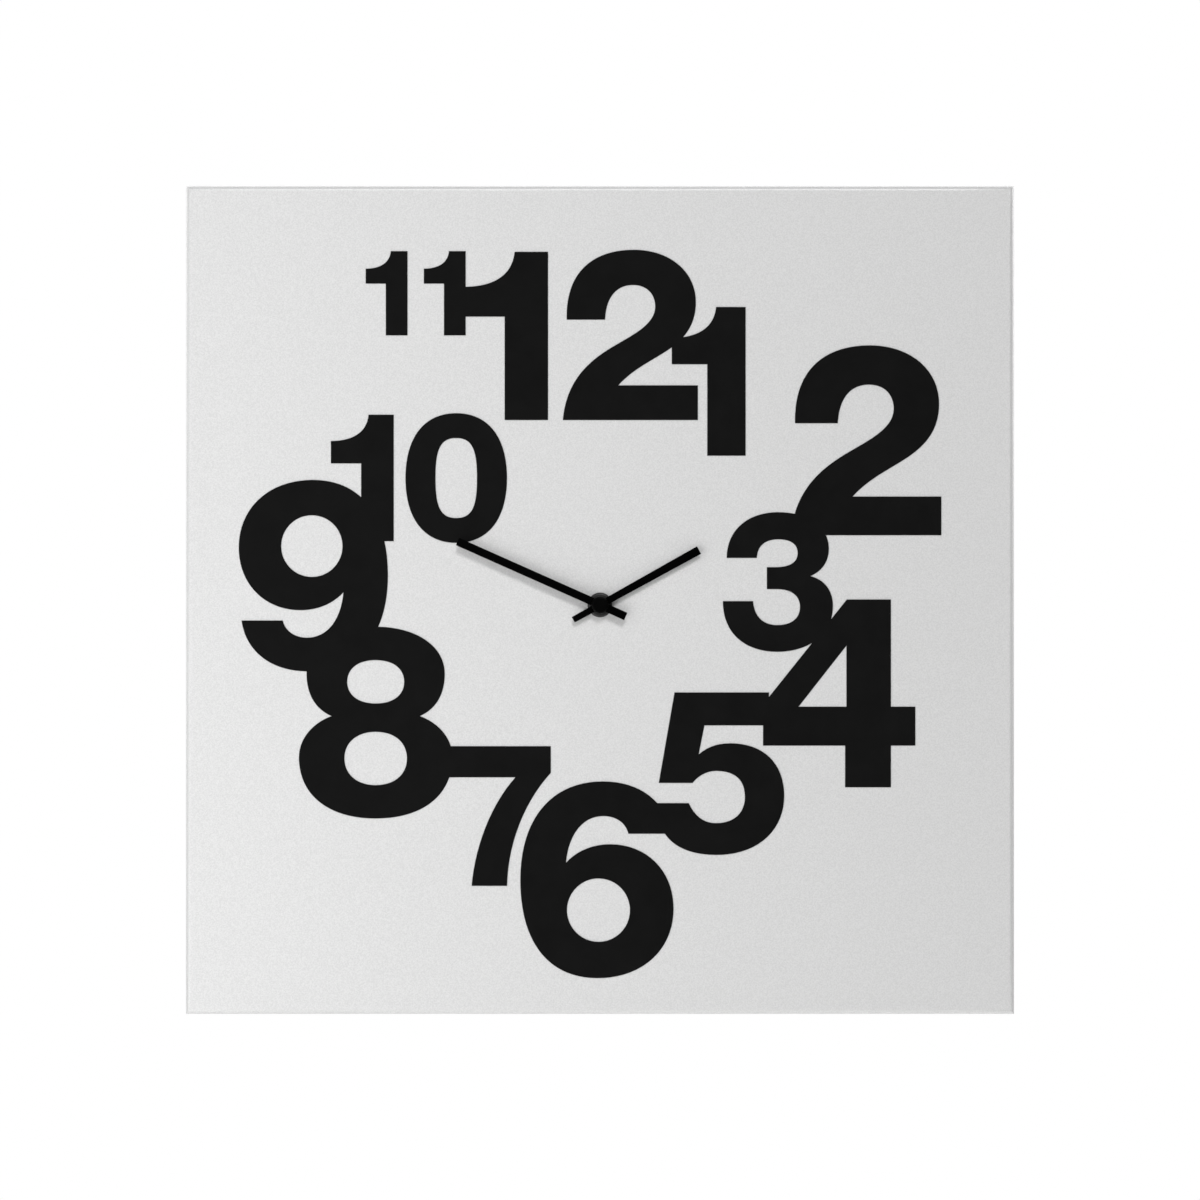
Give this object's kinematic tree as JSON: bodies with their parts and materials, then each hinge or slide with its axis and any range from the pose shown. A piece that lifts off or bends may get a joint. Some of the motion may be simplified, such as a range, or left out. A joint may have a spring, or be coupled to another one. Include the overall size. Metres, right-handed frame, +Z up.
{
  "type": "wall clock",
  "caption": "Square silver sheet-metal wall clock with large overlapping black numerals, two straight black hands and a quartz movement.",
  "frame": {"origin": "seat of the wall screw in the hanger's keyhole, on the wall plane", "axes": "+Y into the wall, so the face looks along -Y; +X to the right of someone facing the clock; +Z up"},
  "size_m": [0.5, 0.0349, 0.5],
  "materials": {
    "silver_powder_coat": "fine-textured silver powder coat",
    "zinc_steel": "bright zinc plate",
    "black_rubber": "matt",
    "brass": "turned",
    "black_nut": "satin black",
    "black_hand": "satin black lacquer",
    "black_cap": "gloss",
    "white_gear_plastic": "moulded",
    "gear_steel": "plain steel",
    "magnet": "sintered",
    "black_plastic": "moulded, fine grain",
    "copper_wire": "enamelled copper winding",
    "green_board": "solder mask",
    "battery_sleeve": "plain film sleeve",
    "white_knob": "moulded",
    "black_numeral": "satin black"
  },
  "bodies": {
    "clock_case": {"case_tray": "silver_powder_coat", "hanger_bracket": "zinc_steel", "hanger_studs": "zinc_steel", "hanger_nuts": "zinc_steel", "rubber_washer": "black_rubber", "threaded_bushing": "brass", "fixing_nut": "black_nut", "movement_front_plate": "black_plastic", "train_bridge": "white_gear_plastic", "movement_housing": "black_plastic", "stator": "gear_steel", "coil_core": "gear_steel", "coil_bobbin": "white_gear_plastic", "coil_winding": "copper_wire", "circuit_board": "green_board", "driver_chip": "black_plastic", "crystal_can": "gear_steel", "positive_contact": "zinc_steel", "negative_contact": "zinc_steel", "numeral_11_first_one": "black_numeral", "numeral_11_and_12_ones": "black_numeral", "numeral_12_two_and_1": "black_numeral", "numeral_2_to_6": "black_numeral", "numeral_7_to_10_one": "black_numeral", "numeral_10_zero": "black_numeral", "wall_bumper_lower_left": "black_rubber", "wall_bumper_lower_right": "black_rubber", "wall_bumper_upper_left": "black_rubber", "wall_bumper_upper_right": "black_rubber"},
    "minute_assembly": {"minute_hand": "black_hand", "minute_hand_collar": "brass", "hand_cap_nut": "black_cap", "cannon_pinion": "white_gear_plastic", "centre_wheel": "white_gear_plastic"},
    "hour_assembly": {"hour_hand": "black_hand", "hour_hand_collar": "brass", "hour_wheel": "white_gear_plastic"},
    "motion_assembly": {"motion_wheel": "white_gear_plastic"},
    "setting_assembly": {"setting_knob": "white_knob", "setting_pinion": "white_gear_plastic"},
    "third_assembly": {"third_pinion": "gear_steel", "third_wheel": "white_gear_plastic"},
    "second_assembly": {"second_pinion": "gear_steel", "second_wheel": "white_gear_plastic"},
    "fifth_assembly": {"fifth_pinion": "gear_steel", "fifth_wheel": "white_gear_plastic"},
    "rotor_assembly": {"rotor_pinion": "white_gear_plastic", "rotor_magnet": "magnet"},
    "battery": {"battery_cell": "battery_sleeve", "battery_terminal": "gear_steel"}
  },
  "joints": [
    {"name": "minute_hand_turn", "type": "hinge", "parent": "clock_case", "child": "minute_assembly", "pos_m": [0, -0.02, -0.198], "axis": [0, 1, 0], "continuous": true},
    {"name": "hour_hand_turn", "type": "hinge", "parent": "clock_case", "child": "hour_assembly", "pos_m": [0, -0.0222, -0.198], "axis": [0, 1, 0], "continuous": true},
    {"name": "motion_wheel_turn", "type": "hinge", "parent": "clock_case", "child": "motion_assembly", "pos_m": [0, -0.0215, -0.1908], "axis": [0, 1, 0], "continuous": true},
    {"name": "setting_knob_turn", "type": "hinge", "parent": "clock_case", "child": "setting_assembly", "pos_m": [0, -0.016, -0.1836], "axis": [0, 1, 0], "continuous": true},
    {"name": "third_wheel_turn", "type": "hinge", "parent": "clock_case", "child": "third_assembly", "pos_m": [-0.00779, -0.019, -0.1935], "axis": [0, 1, 0], "continuous": true},
    {"name": "second_wheel_turn", "type": "hinge", "parent": "clock_case", "child": "second_assembly", "pos_m": [0, -0.018, -0.198], "axis": [0, 1, 0], "continuous": true},
    {"name": "fifth_wheel_turn", "type": "hinge", "parent": "clock_case", "child": "fifth_assembly", "pos_m": [0.00758, -0.017, -0.19362], "axis": [0, 1, 0], "continuous": true},
    {"name": "rotor_turn", "type": "hinge", "parent": "clock_case", "child": "rotor_assembly", "pos_m": [0.01604, -0.015, -0.19055], "axis": [0, 1, 0], "continuous": true},
    {"name": "battery_slide", "type": "slide", "parent": "clock_case", "child": "battery", "axis": [0, 1, 0], "range_m": [0, 0.02]}
  ],
  "couplings": [
    {"joint": "hour_hand_turn", "follows": "minute_hand_turn", "ratio": 0.083333},
    {"joint": "motion_wheel_turn", "follows": "minute_hand_turn", "ratio": -0.33333},
    {"joint": "setting_knob_turn", "follows": "minute_hand_turn", "ratio": 1},
    {"joint": "third_wheel_turn", "follows": "minute_hand_turn", "ratio": -7.5},
    {"joint": "second_wheel_turn", "follows": "minute_hand_turn", "ratio": 60},
    {"joint": "fifth_wheel_turn", "follows": "minute_hand_turn", "ratio": -360},
    {"joint": "rotor_turn", "follows": "minute_hand_turn", "ratio": 1800}
  ]
}
